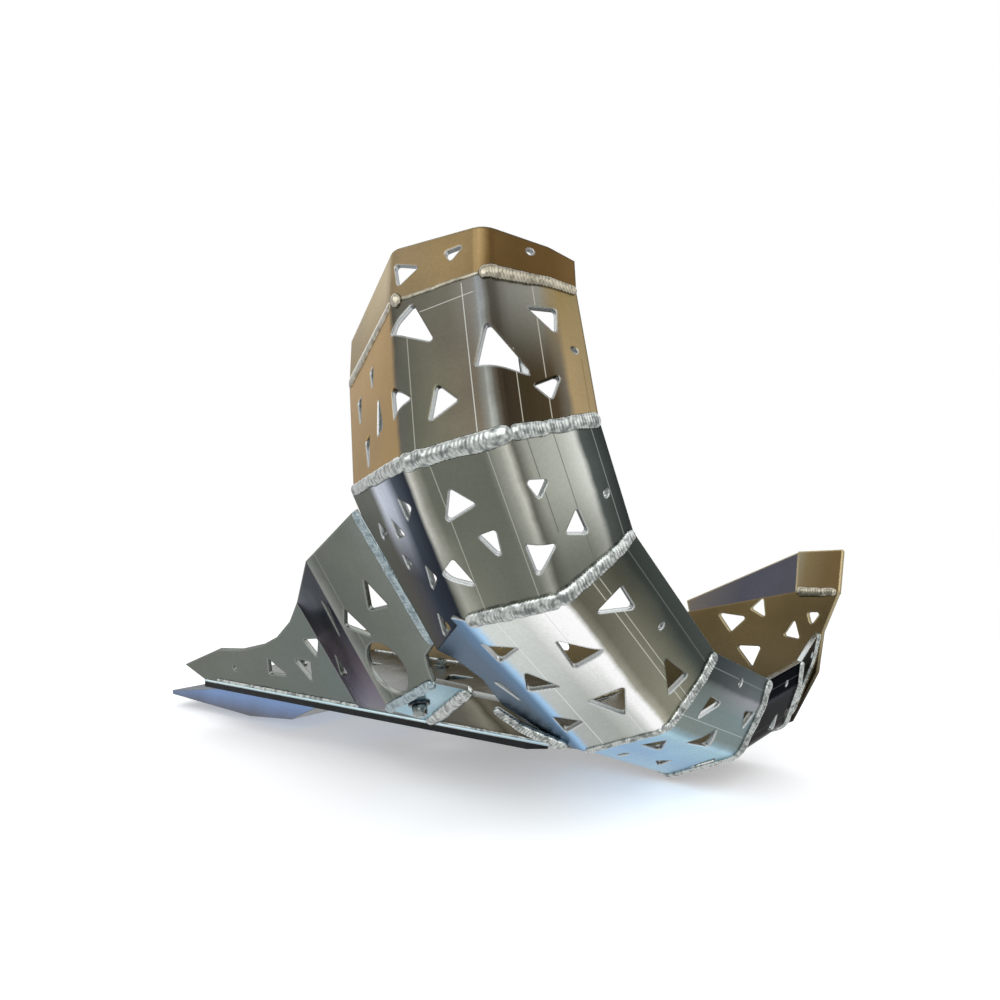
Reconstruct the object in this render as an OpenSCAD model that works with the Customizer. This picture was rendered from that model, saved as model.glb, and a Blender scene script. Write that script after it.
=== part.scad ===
// Motorcycle skid plate in welded aluminium sheet with an exhaust pipe guard.
// Frame: X forward, Y to the left, Z up, millimetres. The origin is midway between
// the two rear frame bolts, on the base plate's upper face. The pieces are drawn
// from a point below the guard and moved to that frame by from_bolts().

/* [Which piece] */
// Piece to draw, or all of them

/* [Sheet and welds] */
// Thickness of the guard and wing sheet
sheet_t = 4; // [3:0.5:5]
// Thickness of the aluminium base plate
base_t = 4; // [3:0.5:6]
// Thickness of the plastic wear plate under the base
plastic_t = 5; // [4:0.5:8]
// Radius of the long weld beads
bead_r = 4; // [3:0.25:5]
// Outside bend radius of the guard's wide fold
fold_r = 18; // [12:1:24]
// Outside bend radius of the fold beside the flank
flank_fold_r = 12; // [8:1:16]

/* [Base] */
// Height of the base plate's underside in the frame
base_low = 8; // [7:0.5:9]
// Length of the base plate behind its front corner
base_len = 390; // [340:5:420]
// Distance of the base plate's right edge from the middle
base_right = 100; // [90:1:110]
// How far the straight side edge runs ahead of X = 0
base_front = 10; // [5:1:15]
// Diameter of the frame mounting holes
mount_d = 8.5; // [6.5:0.5:10.5]
// Distance between the rear mounting holes
mount_pitch = 120; // [100:2:140]
// Distance of the rear mounting holes from the tail
mount_back = 40; // [30:1:60]

/* [Pipe guard path] */
// Where the pipe line meets the upper crossing joint
start_x = 50; // [40:1:60]
// Distance of that joint outside the base plate's right edge
start_out = 109; // [106:1:112]
// Height of that joint
start_z = 220; // [210:1:230]
// Length of the top lip segment
lip_len = 26; // [20:1:32]
// Length of segment 1
len_1 = 83; // [78:1:88]
// Length of segment 2
len_2 = 60; // [56:1:64]
// Length of segment 3
len_3 = 140; // [136:1:144]
// Length of segment 4
len_4 = 96; // [92:1:100]
// Length of segment 5
len_5 = 62; // [58:1:66]
// Length of segment 6
len_6 = 46; // [42:1:50]
// Turn of segment 2 from straight down towards the left
turn_2 = 30; // [28:1:32]
// Turn of segment 3
turn_3 = 51; // [49:1:53]
// Turn of segment 4
turn_4 = 70; // [68:1:72]
// Turn of segment 5
turn_5 = 95; // [93:1:97]
// Turn of segment 6
turn_6 = 118; // [116:1:120]

/* [Pipe guard section] */
// Reach of the flank behind the pipe line
flank_back = 92; // [88:1:96]
// Distance of the flank's free edge outside the pipe line
flank_out = 43; // [40:1:46]
// Distance of the first fold outside the pipe line
fold_out = 77; // [75:1:79]
// Reach of the second fold ahead of the pipe line
nose_fwd = 55; // [53:1:57]
// Distance of the second fold outside the pipe line
nose_out = 53; // [51:1:55]
// Reach of the third fold ahead of the pipe line
cheek_fwd = 72; // [70:1:74]
// Distance of the third fold outside the pipe line
cheek_out = 14; // [12:1:16]
// Reach of the free rim ahead of the pipe line
rim_fwd = 76; // [75:1:78]

/* [Wings and left plate] */
// Height of the right wing at its front corner
wing_top = 181; // [176:1:186]
// Lean of the right wing's rear part
wing_lean = 19; // [17:0.5:21]
// Radius of the round drain hole in the right wing
drain_r = 21; // [18:0.5:22]
// Sideways place of the left plate's inner face at the guard rim
left_y = 116; // [113:1:120]
// Outward lean of the left plate
left_lean = 6; // [5:0.5:7]
// Height of the left plate's top flange
left_top = 139; // [134:1:144]

/* [Hidden] */
$fn = 24;

silver = [0.78, 0.79, 0.80];
bright = [0.88, 0.88, 0.88];
base_z = base_low + base_t;
wear_z = base_low - plastic_t;
side_y = base_right;
start_y = -side_y - start_out;
tail_x = -base_len;

// moves a piece from where it is drawn to the frame of the rear bolts
module from_bolts() translate([base_len - mount_back, 0, -base_z]) children();

// small vector helpers
function unit(v) = v / norm(v);
function mid(a, b, f = 0.5) = a + (b - a) * f;
function lean(f, h) = [sin(f), cos(f) * sin(h), -cos(f) * cos(h)];
function mirrored(v, n) = v - 2 * (v * n) * n;

// path of the pipe line: direction, start point and joint plane of a segment
turns = [-21, -23, turn_2, turn_3, turn_4, turn_5, turn_6];
lengths = [lip_len, len_1, len_2, len_3, len_4, len_5, len_6];
function dir(i) = lean(i == 0 ? 17 : i == 1 ? 24 : 0, turns[i]);
function node_at(i) = i == 2 ? [start_x, start_y, start_z]
  : i > 2 ? node_at(i - 1) + lengths[i - 1] * dir(i - 1)
  : node_at(i + 1) - lengths[i] * dir(i);
function joint_n(i) = i == 0 ? lean(17, -32)
  : i == 7 ? [0, cos(left_lean), -sin(left_lean)] : unit(dir(i - 1) + dir(i));
// the left side plate closes the last segment, so it sets the last joint
function left_at(x, z) = [x, left_y + (z - 77) * tan(left_lean), z];
function joint_at(i) = i == 7 ? left_at(126, 77) : node_at(i);
// across and outward directions; above the crossing joint they are mirrored
function across(i) = i >= 2 ? [1, 0, 0] : mirrored(across(i + 1), joint_n(i + 1));
function outward(i) = i >= 2 ? [0, -cos(turns[i]), -sin(turns[i])]
  : mirrored(outward(i + 1), joint_n(i + 1));

// corners of the guard's section, across and outward from the pipe line
sec_a = [-flank_back, flank_out];
sec_b = [-3, fold_out];
sec_c = [nose_fwd, nose_out];
sec_e = [cheek_fwd, cheek_out];
sec_d = [rim_fwd, -5];
sec_f = [-66, 71];
function spot(i, c) = node_at(i) + c[0] * across(i) + c[1] * outward(i);
// where a section corner of a segment meets its first or last joint plane
function meet(i, c, j) = let (p = spot(i, c), n = joint_n(j), d = dir(i))
  p + ((joint_at(j) - p) * n) / (d * n) * d;

// outline of a bent sheet: rounded outer line and the same line inside it
function arc(a, b, c, r, in) = let (u = unit(a - b), v = unit(c - b),
  h = acos(u * v) / 2, o = b + unit(u + v) * r / sin(h),
  p = unit(b + u * r / tan(h) - o), q = unit(b + v * r / tan(h) - o),
  w = 180 - 2 * h)
  [for (k = [0:4]) o + (r - in) * (sin(w * (1 - k / 4)) * p + sin(w * k / 4) * q) / sin(w)];
function side(a, b) = unit([a[1] - b[1], b[0] - a[0]]);
function line(p, r, in) = let (n = len(p) - 1) concat(
  [p[0] - in * side(p[0], p[1])],
  [for (k = [1:n - 1]) each arc(p[k - 1], p[k], p[k + 1], r[k], in)],
  [p[n] - in * side(p[n - 1], p[n])]);
function reversed(v) = [for (k = [len(v) - 1:-1:0]) v[k]];
function bent(p, r) = concat(line(p, r, 0), reversed(line(p, r, sheet_t)));

// puts a drawing on the frame with the given origin and axes
module place(o, x, y, z)
  multmatrix([[x[0], y[0], z[0], o[0]], [x[1], y[1], z[1], o[1]],
    [x[2], y[2], z[2], o[2]], [0, 0, 0, 1]]) children();
function any_side(n) = unit(cross(abs(n[0]) > 0.9 ? [0, 1, 0] : [1, 0, 0], n));
module towards(o, n) place(o, any_side(n), cross(n, any_side(n)), n) children();
module half(o, n) towards(o, n) translate([-300, -300, 0]) cube([600, 600, 300]);

// flat sheet through corner points, its thickness behind the seen face
function face_n(p) = unit(cross(p[1] - p[0], p[2] - p[0]));
function face_x(p) = unit(p[1] - p[0]);
function face_y(p) = cross(face_n(p), face_x(p));
function flat(p) = [for (q = p) [(q - p[0]) * face_x(p), (q - p[0]) * face_y(p)]];
module on_face(p) place(p[0], face_x(p), face_y(p), face_n(p)) children();
module sheet(p, t = sheet_t)
  on_face(p) translate([0, 0, -t]) linear_extrude(t) polygon(flat(p));

// triangle with rounded corners: base width, height, turn of its tip
function corners(w, h) = [[-h / 3, w / 2], [-h / 3, -w / 2], [2 * h / 3, 0]];
function soft(p, r) = [for (k = [0:2]) let (a = p[(k + 2) % 3], b = p[k], c = p[(k + 1) % 3],
  u = unit(a - b), v = unit(c - b), s = acos(u * v) / 2, o = b + unit(u + v) * r / sin(s),
  m = unit(u * r / tan(s) + b - o), q = unit(v * r / tan(s) + b - o), w = 180 - 2 * s)
  for (i = [0:3]) o + r * (sin(w * (1 - i / 3)) * m + sin(w * i / 3) * q) / sin(w)];
module tri(x, y, w, h, turn, r = 1.6)
  translate([x, y, -14]) rotate(turn) linear_extrude(28) polygon(soft(corners(w, h), r));
module dot(x, y, r) translate([x, y, -14]) cylinder(r = r, h = 28);

// frame on one facet of a guard segment: along the fold, then across the facet
module on_facet(i, a, b) {
  y = unit((b - a)[0] * across(i) + (b - a)[1] * outward(i));
  place(spot(i, a), dir(i), y, cross(dir(i), y)) children();
}
module shell(i, pts, rad) difference() {
  place(node_at(i), across(i), outward(i), dir(i)) translate([0, 0, -64])
    linear_extrude(lengths[i] + 128) polygon(bent(pts, rad));
  half(joint_at(i), -joint_n(i));
  half(joint_at(i + 1), joint_n(i + 1));
}
full = [sec_a, sec_b, sec_c, sec_e, sec_d];
radii = [0, flank_fold_r, fold_r, fold_r, 0];

// weld bead along a chain of points: round runs, mitred where they turn, with a
// hair's gap so that each run is a solid of its own
mitre_gap = 0.05;
function run_dir(pts, k) = unit(pts[k + 1] - pts[k]);
function mitre(pts, k) = unit(run_dir(pts, k - 1) + run_dir(pts, k));
module bead(pts, r = bead_r) {
  last = len(pts) - 2;
  for (k = [0:last]) let (back = k > 0 ? r : 0, ahead = k < last ? r : 0) difference() {
    towards(pts[k], run_dir(pts, k)) translate([0, 0, -back])
      cylinder(r = r, h = norm(pts[k + 1] - pts[k]) + back + ahead);
    if (k > 0) half(pts[k] + mitre_gap * mitre(pts, k), -mitre(pts, k));
    if (k < last) half(pts[k + 1] - mitre_gap * mitre(pts, k + 1), mitre(pts, k + 1));
  }
}
function joint_line(i, j, cs) = [for (c = cs) meet(i, c, j)];

module guard_lip() color(silver) from_bolts() difference() {
  shell(0, full, radii);
  on_facet(0, sec_b, sec_c) { tri(6, 8, 20, 16, -22); tri(2, 42, 10, 14, 115); }
  on_facet(0, sec_c, sec_e) dot(1, 30, 2.5);
}
module guard_segment_1() color(silver) from_bolts() difference() {
  shell(1, full, radii);
  on_facet(1, sec_b, sec_c) {
    tri(24, 12, 24, 36, 38); tri(63, 63, 44, 22, -63);
    tri(72, -2, 17, 24, -158); tri(86, 27, 26, 17, 75);
  }
  on_facet(1, sec_c, sec_e) { tri(32, 36, 26, 16, 133); tri(84, 31, 14, 21, 138); }
  on_facet(1, sec_e, sec_d) dot(53, 10, 2.5);
  on_facet(1, sec_b, sec_a) {
    tri(24, 46, 8, 22, 0); tri(30, 74, 9, 28, 0);
    tri(62, 36, 12, 32, 180); tri(70, 61, 10, 30, 0);
  }
}
module guard_segment_2() color(silver) from_bolts() difference() {
  union() {
    shell(2, [mid(sec_b, sec_a, 0.2), sec_b, sec_c, sec_e, sec_d], radii);
    difference() {
      on_facet(2, sec_b, sec_a) linear_extrude(sheet_t)
        polygon([[-60, 14], [-60, 100], [24, 100], [121, 65], [77, 8], [68, 14]]);
      half(node_at(2), -joint_n(2));
    }
  }
  on_facet(2, sec_b, sec_c) {
    tri(-3, 22, 18, 22, -47); tri(24, 34, 12, 20, 10);
    tri(41, 6, 17, 22, 42); tri(39, 58, 18, 22, -20);
  }
  on_facet(2, sec_c, sec_e) { tri(-2, 9, 13, 15, -139); tri(32, 25, 20, 14, -84); }
  on_facet(2, sec_e, sec_d) dot(25, 8, 2.5);
  on_facet(2, sec_b, sec_a) {
    tri(0, 22, 22, 13, 135); tri(30, 74, 10, 18, 37); tri(22, 48, 18, 14, 155);
    tri(47, 53, 14, 11, 147); tri(50, 25, 13, 22, 30); tri(90, 36, 15, 22, 33);
  }
}
module guard_segment_3() color(silver) from_bolts() difference() {
  union() {
    shell(3, [mid(sec_b, sec_f, 0.2), sec_b, sec_c, sec_e, sec_d], radii);
    on_facet(3, sec_b, sec_f) linear_extrude(sheet_t)
      polygon([[-10, 8], [40, 63], [47, 52], [70, 42], [108, 48], [128, 38], [144, 16], [149, 8]]);
  }
  on_facet(3, sec_b, sec_c) {
    tri(44, 47, 28, 31, -160); tri(102, 44, 36, 25, -113);
    tri(23, 3, 26, 20, -30); tri(64, 9, 30, 19, -61); tri(115, 5, 20, 21, -156);
  }
  on_facet(3, sec_c, sec_e) { tri(28, 26, 34, 17, 132); tri(116, 27, 19, 32, 173); dot(73, 40, 2.5); }
  on_facet(3, sec_b, sec_f) tri(79, 24, 8, 34, -20);
}
module guard_segment_4() color(silver) from_bolts() difference() {
  shell(4, full, radii);
  on_facet(4, sec_b, sec_c) {
    tri(106, 36, 20, 26, 129); tri(20, 39, 19, 27, -18); tri(69, 18, 20, 12, 69); dot(21, 12, 4);
  }
  on_facet(4, sec_c, sec_e) { tri(27, 26, 28, 14, 131); tri(87, 29, 19, 13, 42); tri(49, 2, 17, 30, -157); }
  on_facet(4, sec_e, sec_d) dot(52, 8, 3);
}
module guard_segment_5() color(silver) from_bolts() difference() {
  shell(5, full, radii);
  on_facet(5, sec_c, sec_e) { tri(40, 12, 20, 12, -159); tri(66, 14, 11, 22, 147); }
  on_facet(5, sec_e, sec_d) dot(37, 7, 2.5);
}
module guard_segment_6() color(silver) from_bolts() difference() {
  shell(6, full, radii);
  on_facet(6, sec_e, sec_d) dot(25, 8, 2.5);
}

// right wing in flat parts from the tail to the guard's flank, bent at its step
edge_z = base_z - 2;
tail_foot = [tail_x, -side_y, edge_z];
function rear_at(x, z) = [x, -side_y - (z - edge_z) * tan(wing_lean), z];
// the joggle's outer fold, from its foot on the ledge, and the front part's corners
joggle_foot = [-92, -side_y - 61, edge_z + 22];
wing_peak = [-58, -side_y - 129, wing_top];
wing_toe = [-19, -side_y - 94, 91];
front_n = face_n([joggle_foot, wing_toe, wing_peak]);
function front_at(x, y, z) = let (q = [x, y - side_y, z]) q - ((q - joggle_foot) * front_n) * front_n;
joggle_top = front_at(-132, -105, 142);
// the joggle's inner fold, where its plane crosses the rear part's plane
step_foot = rear_at(-185, edge_z);
step_n = face_n([step_foot, joggle_foot, joggle_top]);
rear_n = face_n([tail_foot, step_foot, rear_at(-185, 99)]);
step_dir = unit(cross(step_n, rear_n));
step_top = step_foot + (98 - edge_z) / step_dir[2] * step_dir;
// corner a pushed away from corner b, so that a part reaches past its fold
fold_past = 6;
function past(a, b) = a + fold_past * unit(a - b);
rear_pts = [tail_foot, past(step_foot, tail_foot), past(step_top, rear_at(-242, 80)),
  rear_at(-242, 80), rear_at(-265, 64), rear_at(-289, 54), rear_at(-322, 46),
  rear_at(-355, 43), rear_at(tail_x - 24, 22)];
step_pts = [past(step_foot, joggle_foot), past(joggle_foot, step_foot),
  past(joggle_top, step_top), past(step_top, joggle_top)];
// foot of the front part, along the ledge and up its notch
foot_end = front_at(-31, -80, 62);
front_pts = [wing_toe, wing_peak, past(joggle_top, wing_peak), past(joggle_foot, foot_end),
  foot_end, front_at(-32, -84, 72), front_at(-31, -88, 81)];
// cuts a part off beyond the plane that halves a fold
module beyond(a, b, n, inside) {
  v = unit(cross(b - a, n));
  half(a, v * (a - inside) > 0 ? v : -v);
}
module rear_cut(inside) beyond(step_foot, step_top, rear_n + step_n, inside);
module front_cut(inside) beyond(joggle_foot, joggle_top, step_n + front_n, inside);
module right_wing() color(silver) from_bolts() difference() {
  union() {
    difference() { sheet(rear_pts); rear_cut(tail_foot); }
    difference() {
      sheet(step_pts);
      rear_cut(joggle_foot);
      front_cut(step_foot);
    }
    difference() { sheet(front_pts); front_cut(wing_toe); }
  }
  on_face(rear_pts) {
    tri(169, 54, 20, 18, 38);
    tri(110, 24, 17, 26, -15);
    tri(152, 31, 26, 17, 40);
    dot(52, 18, 2.5);
  }
  on_face([step_foot, joggle_foot, joggle_top]) {
    tri(101, 80, 17, 36, -117);
    tri(27, 38, 20, 32, -160);
  }
  on_face([joggle_foot, wing_toe, wing_peak]) {
    tri(84, 54, 26, 24, 64);
    tri(43, 57, 18, 32, -66);
    dot(37, 18, drain_r);
  }
}

// sloping ledge under the wing, bent once, and the gusset in front of it
slope = [0, -0.7, 0.7141428];
function ledge_at(x, v) = [x, -side_y, edge_z] + v * slope;
ledge_root = ledge_at(-105, 0);
ledge_n = face_n([ledge_root, foot_end, joggle_foot]);
ledge_tip = let (q = ledge_at(-33, 56)) q - ((q - ledge_root) * ledge_n) * ledge_n;
ledge_hole = ledge_root + [34, -50, 28];
module ledge() color(silver) from_bolts() difference() {
  union() {
    sheet([step_foot, ledge_root, joggle_foot]);
    sheet([ledge_root, ledge_tip, foot_end, joggle_foot]);
  }
  ledge_axis() dot(0, 0, 3.2);
}
module front_gusset() color(silver) from_bolts()
  sheet([ledge_at(-105, 0), ledge_at(36, 0), ledge_at(43, 10), ledge_at(30, 17),
    ledge_at(8, 33), ledge_at(-8, 48), ledge_at(-34, 50)]);
// axis of the ledge's bolt, out of its lower face
module ledge_axis() towards(ledge_hole - ((ledge_hole - ledge_root) * ledge_n) * ledge_n, ledge_n) children();
module ledge_bolt() color(bright) from_bolts() ledge_axis() {
  translate([0, 0, -14]) cylinder(r = 3, h = 22);
  translate([0, 0, -10]) cylinder(r = 5, h = 6, $fn = 6);
}
module ledge_nut() color(bright) from_bolts() ledge_axis() difference() {
  union() { cylinder(r = 8, h = 1.6); cylinder(r = 6.4, h = 7, $fn = 6); cylinder(r = 5.2, h = 9.5); }
  translate([0, 0, -1]) cylinder(r = 3, h = 12);
}

// base, plastic wear plate and their fasteners
// the base reaches the left plate but for a hair's gap
seat_gap = 0.05;
left_edge = left_at(0, base_low)[1] - seat_gap;
outline = [[tail_x, -side_y], [base_front, -side_y], [base_front + 24, -side_y + 8],
  [-2, 50 - side_y], [-44, 96 - side_y], [-44, left_edge], [tail_x, left_edge]];
screw_at = [[tail_x + 20, 0], [-250, -80], [-250, 80], [-110, -80], [-110, 80], [-60, 40]];
mount_at = [[tail_x + mount_back, -mount_pitch / 2], [tail_x + mount_back, mount_pitch / 2]];
module base_plate() color(silver) from_bolts() difference() {
  translate([0, 0, base_low]) linear_extrude(base_t) polygon(outline);
  for (p = mount_at) translate([p[0], p[1], -1]) cylinder(d = mount_d, h = 30);
  for (p = screw_at) translate([p[0], p[1], -1]) cylinder(d = 6.4, h = 30);
  translate([-180, 0, -1]) cylinder(d = 34, h = 30);
  for (p = link_bolts) translate([p[0], p[1], -1]) cylinder(d = 6.4, h = 30);
  for (x = [-320, -200, -130]) for (y = [-45, 45]) translate([x, y, base_low])
    rotate(x > -150 ? 90 : -90) tri(0, 0, 34, 30, 0, 4);
}
module wear_plate() color([0.06, 0.06, 0.07]) from_bolts() difference() {
  translate([0, 0, wear_z]) linear_extrude(plastic_t)
    polygon([[tail_x, -side_y], [base_front - 20, -side_y], [base_front - 8, -side_y + 10],
      [-14, 42 - side_y], [-50, 90 - side_y], [-50, left_edge], [tail_x, left_edge]]);
  for (p = mount_at) translate([p[0], p[1], -1]) {
    cylinder(d = mount_d, h = 30);
    cylinder(d = 20, h = wear_z + 3);
  }
  for (p = screw_at) translate([p[0], p[1], -1]) {
    cylinder(d = 6.4, h = 30);
    cylinder(d = 14, h = wear_z + 4.5);
  }
  for (p = link_bolts) translate([p[0], p[1], -1]) cylinder(d = 6.4, h = 30);
  translate([-180, 0, -1]) cylinder(d = 34, h = 30);
}
module wear_screws() color(bright) from_bolts() for (p = screw_at) translate([p[0], p[1], wear_z]) {
  translate([0, 0, 3.5]) cylinder(d = 6, h = plastic_t + base_t + 5.5);
  difference() {
    translate([0, 0, 0.5]) cylinder(d = 13, h = 3);
    translate([0, 0, -1]) cylinder(d = 4.6, h = 3, $fn = 6);
  }
}
module wear_nuts() color(bright) from_bolts() for (p = screw_at) translate([p[0], p[1], base_z])
difference() {
  union() { cylinder(d = 16, h = 1.6); cylinder(d = 11.5, h = 6.5, $fn = 6); }
  translate([0, 0, -1]) cylinder(d = 6, h = 10);
}

// left side plate with its bent flange, and the facet at the front corner
flange_foot = left_at(7, 84);
flange_end = left_at(105, 108);
flange_top = [98, left_y + 24, left_top];
module left_plate() color(silver) from_bolts() difference() {
  union() {
    sheet([left_at(-240, 66), left_at(tail_x - 10, 30), left_at(tail_x, edge_z),
      left_at(-46, edge_z), left_at(-40, 4), left_at(44, -27), left_at(106, 2),
      left_at(126, 44), left_at(129, 77), left_at(141, 110), flange_end, flange_foot,
      left_at(-120, 74)]);
    sheet([flange_foot, flange_end, flange_top, [2, left_y + 11, 90]]);
  }
  place(left_at(0, 0), [1, 0, 0], [0, sin(left_lean), cos(left_lean)],
    [0, -cos(left_lean), sin(left_lean)]) {
    tri(48, 80, 28, 15, -93);
    tri(73, 93, 18, 13, -171);
    tri(103, 76, 15, 16, 83);
    tri(120, 89, 14, 9, 146);
    tri(66, 54, 20, 21, 158);
    for (x = [-60, -130, -200]) tri(x, 46, 30, 26, x == -130 ? 90 : -90, 3);
  }
}
module left_corner() color(silver) from_bolts()
  sheet([flange_end, left_at(141, 110), [136, left_y + 24, left_top + 4], flange_top]);

// linkage guard under the tail: a bent strip with two upright sides
link_w = 120;
link_t = 4;
link_line = [[-225, wear_z - link_t], [-262, wear_z - link_t], [-313, -25], [-373, -30], [-497, -24]];
link_rim = [[-492, -20], [-411, -7], [-360, wear_z], [-225, wear_z]];
link_bolts = [[-245, -36], [-245, 36]];
module upright(y, thick) translate([0, y, 0]) rotate([90, 0, 0]) linear_extrude(thick) children();
module linkage_guard() color(silver) from_bolts() difference() {
  union() {
    upright(link_w / 2, link_w) polygon(concat(link_line,
      [for (k = [4:-1:0]) link_line[k] + [0, link_t]]));
    for (y = [link_w / 2, link_t - link_w / 2]) upright(y, link_t) polygon(concat(link_line, link_rim));
  }
  for (p = link_bolts) translate([p[0], p[1], -20]) cylinder(d = 6.4, h = 40);
  translate([-430, 0, -40]) cylinder(d = 26, h = 30);
}
module linkage_screws() color(bright) from_bolts() for (p = link_bolts)
translate([p[0], p[1], wear_z - link_t]) {
  cylinder(d = 6, h = link_t + plastic_t + base_t + 9);
  translate([0, 0, -3.5]) cylinder(d = 12, h = 3.5);
  translate([0, 0, link_t + plastic_t + base_t]) cylinder(d = 11.5, h = 6, $fn = 6);
}

module weld_lip() color(bright) from_bolts() bead(joint_line(1, 1, [sec_a, sec_b, sec_c, sec_e, sec_d]), 3);
module weld_1_2() color(bright) from_bolts() bead(joint_line(2, 2, [sec_a, sec_b, sec_c, sec_e, sec_d]));
module weld_2_3() color(bright) from_bolts() bead(joint_line(3, 3, [sec_b, sec_c, sec_e, sec_d]));
module weld_3_4() color(bright) from_bolts() bead(joint_line(4, 4, [sec_b, sec_c, sec_e, sec_d]));
module weld_4_5() color(bright) from_bolts() bead(joint_line(5, 5, [sec_a, sec_b, sec_c, sec_e, sec_d]));
module weld_5_6() color(bright) from_bolts() bead(joint_line(6, 6, [sec_a, sec_b, sec_c, sec_e, sec_d]));
module weld_left_rim() color(bright) from_bolts()
  bead(joint_line(6, 7, [sec_b, sec_c, sec_e, sec_d]), bead_r * 1.1);
module weld_wing_guard() color(bright) from_bolts() bead([wing_peak, wing_toe], 5);
module weld_wing_foot() color(bright) from_bolts() bead([joggle_foot, foot_end], 3.5);
module weld_ledge() color(bright) from_bolts() bead([ledge_root, ledge_tip], 5);
module weld_gusset() color(bright) from_bolts()
  bead([[-7, -side_y - 42, 41], [7, -side_y - 29, 27], [30, -side_y - 17, 16], [43, -side_y - 12, 13]], 3.2);
module weld_left_corner() color(bright) from_bolts() bead([flange_end, left_at(139, 110)], 3.5);
module weld_base() color(bright) from_bolts() {
  bead([[tail_x + 20, -side_y, base_z], [base_front, -side_y, base_z]], 2.5);
  bead([[tail_x + 20, left_edge, base_z], [-52, left_edge, base_z]], 2.5);
  bead([for (k = [5, 4, 3, 2]) [outline[k][0], outline[k][1], base_z]], 3);
}

base_plate();
wear_plate();
wear_screws();
wear_nuts();
right_wing();
ledge();
front_gusset();
ledge_bolt();
ledge_nut();
guard_lip();
guard_segment_1();
guard_segment_2();
guard_segment_3();
guard_segment_4();
guard_segment_5();
guard_segment_6();
left_plate();
left_corner();
linkage_guard();
linkage_screws();
weld_lip();
weld_1_2();
weld_2_3();
weld_3_4();
weld_4_5();
weld_5_6();
weld_left_rim();
weld_wing_guard();
weld_wing_foot();
weld_ledge();
weld_gusset();
weld_left_corner();
weld_base();
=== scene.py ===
"""Looks of a welded aluminium skid plate with its exhaust guard: bent sheet with etched bend marks,
rippled weld beads, a black plastic wear plate and plated fasteners."""

import math

import bpy
import numpy as np
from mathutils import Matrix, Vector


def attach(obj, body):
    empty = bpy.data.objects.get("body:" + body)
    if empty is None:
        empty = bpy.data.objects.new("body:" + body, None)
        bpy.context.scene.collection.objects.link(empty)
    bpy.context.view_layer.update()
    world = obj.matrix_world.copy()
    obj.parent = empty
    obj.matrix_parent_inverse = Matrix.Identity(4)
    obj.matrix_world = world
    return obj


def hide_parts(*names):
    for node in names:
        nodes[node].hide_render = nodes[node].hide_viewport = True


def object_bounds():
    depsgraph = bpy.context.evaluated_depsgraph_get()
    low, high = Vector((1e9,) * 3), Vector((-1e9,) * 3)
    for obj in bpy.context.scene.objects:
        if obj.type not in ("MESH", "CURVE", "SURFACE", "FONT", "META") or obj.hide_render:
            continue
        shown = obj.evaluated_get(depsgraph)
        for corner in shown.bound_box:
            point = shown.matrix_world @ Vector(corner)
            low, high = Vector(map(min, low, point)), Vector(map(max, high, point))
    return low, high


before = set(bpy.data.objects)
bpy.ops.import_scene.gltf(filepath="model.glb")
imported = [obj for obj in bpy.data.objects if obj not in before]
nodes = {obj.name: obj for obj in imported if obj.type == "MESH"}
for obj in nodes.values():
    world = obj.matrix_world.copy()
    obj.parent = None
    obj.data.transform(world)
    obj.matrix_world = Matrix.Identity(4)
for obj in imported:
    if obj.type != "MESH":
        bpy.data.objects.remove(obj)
cad_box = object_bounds()
MM = 0.001
# the shapes below are worked out in millimetres from a point under the guard, and moved
# by this much to the frame, whose origin is midway between the two rear bolts
MOVE = np.array([350.0, 0.0, -12.0])
X, Y, Z = np.eye(3)


# the guard's path and section, with the same sizes as in the part's source
def unit(v):
    """A vector of length one."""
    v = np.asarray(v, float)
    return v / np.linalg.norm(v)


def lean(forward, turn):
    """Direction leaning forward, and turned from straight down towards the left, in degrees."""
    f, t = math.radians(forward), math.radians(turn)
    return np.array([math.sin(f), math.cos(f) * math.sin(t), -math.cos(f) * math.cos(t)])


# each segment's lean forward and its turn towards the left, in degrees, and its length
LEANS = [17, 24, 0, 0, 0, 0, 0]
TURNS = [-21, -23, 30, 51, 70, 95, 118]
LENGTHS = [26, 83, 60, 140, 96, 62, 46]
DIRS = [lean(forward, turn) for forward, turn in zip(LEANS, TURNS)]
# where each segment starts on the pipe line, worked out both ways from segment 2
STARTS = {2: np.array([50.0, -209.0, 220.0])}
for i in range(3, 7):
    STARTS[i] = STARTS[i - 1] + LENGTHS[i - 1] * DIRS[i - 1]
for i in (1, 0):
    STARTS[i] = STARTS[i + 1] - LENGTHS[i] * DIRS[i]
# each joint's plane, by a point and its normal; joint 7 is at the left plate's face
LEFT_LEAN = math.radians(6)
LEFT_N = np.array([0, -math.cos(LEFT_LEAN), math.sin(LEFT_LEAN)])
JOINT_AT = {i: STARTS[i] for i in range(1, 7)}
JOINT_AT[7] = np.array([126.0, 116.0, 77.0])
JOINT_N = {i: unit(DIRS[i - 1] + DIRS[i]) for i in range(1, 7)}
JOINT_N[7] = -LEFT_N
# each segment's two directions across the pipe line, mirrored above the joint of 1 and 2
ACROSS = {i: X for i in range(2, 7)}
OUTWARD = {}
for i in range(2, 7):
    turn = math.radians(TURNS[i])
    OUTWARD[i] = -np.array([0, math.cos(turn), math.sin(turn)])
for i in (1, 0):
    n = JOINT_N[i + 1]
    ACROSS[i] = ACROSS[i + 1] - 2 * (ACROSS[i + 1] @ n) * n
    OUTWARD[i] = OUTWARD[i + 1] - 2 * (OUTWARD[i + 1] @ n) * n
# corners of the section, from the flank's free edge round to the free rim, and the outer
# radius of the fold at each of its three inner corners
SECTION = np.array([(-92, 43), (-3, 77), (55, 53), (72, 14), (76, -5)], float)
FOLD_R = {1: 12.0, 2: 18.0, 3: 18.0}
# a weld's usual distance between two passes of the torch, and its rings in each of them
PITCH, RINGS = 2.4, 7


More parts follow.
